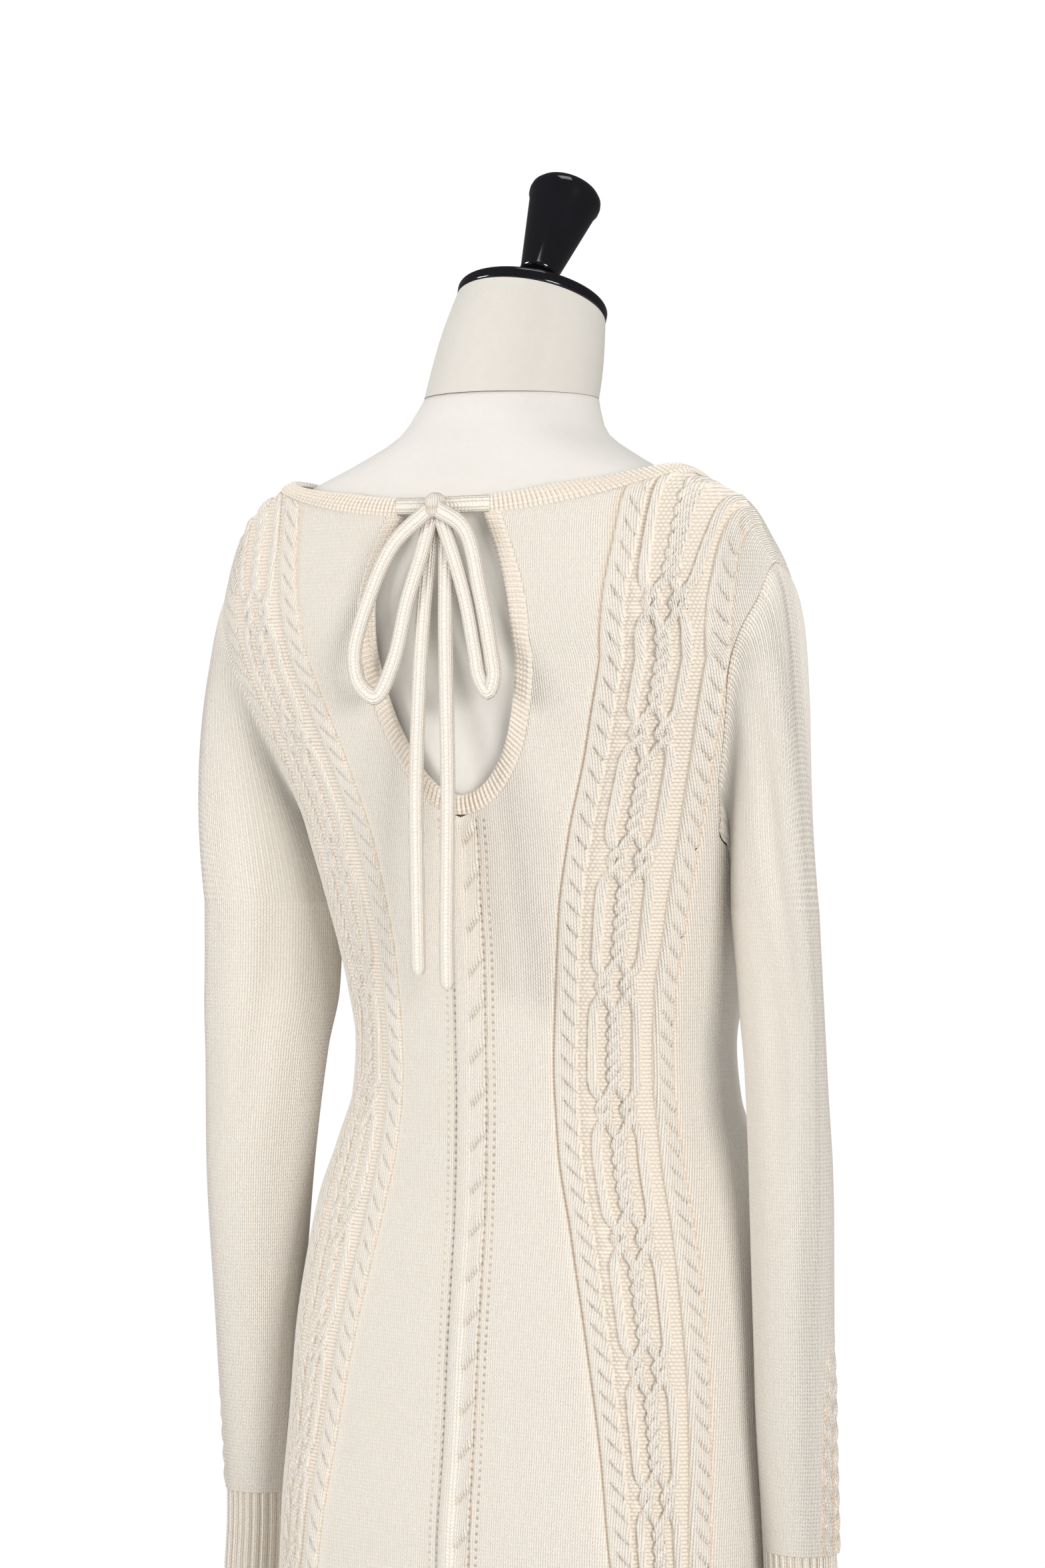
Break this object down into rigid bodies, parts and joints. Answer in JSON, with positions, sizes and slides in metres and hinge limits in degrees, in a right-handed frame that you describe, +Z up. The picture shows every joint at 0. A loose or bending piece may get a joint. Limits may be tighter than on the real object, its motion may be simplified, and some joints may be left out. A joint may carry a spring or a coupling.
{
  "type": "sweater dress on a limbless dress form",
  "caption": "Long sleeved cable knit sweater dress with a keyhole back and a tied bow, on a limbless dress form.",
  "frame": {"origin": "centre of the base's underside, which stands on the floor", "axes": "+Z up the pole, -Y towards the dress's front, +X towards the wearer's left sleeve"},
  "size_m": [0.4582, 0.34, 1.5583],
  "materials": {
    "knit": "matte cream cable knit",
    "linen": "matte off-white woven cover",
    "gloss_black": "polished",
    "painted_metal": "satin"
  },
  "bodies": {
    "root": {"back_panel": "knit", "front_panel": "knit", "sleeve_left": "knit", "sleeve_right": "knit", "cuff_left": "knit", "cuff_right": "knit", "neckband": "knit", "keyhole_binding": "knit", "bow_knot": "knit", "tie_bridge_left": "knit", "tie_bridge_right": "knit", "bow_loop_left": "knit", "bow_loop_right": "knit", "tie_end_left": "knit", "tie_end_right": "knit", "form_body": "linen", "form_neck": "linen", "form_cap": "gloss_black", "form_collar": "gloss_black", "form_finial": "gloss_black", "form_pole": "painted_metal", "form_base": "painted_metal"}
  },
  "joints": []
}
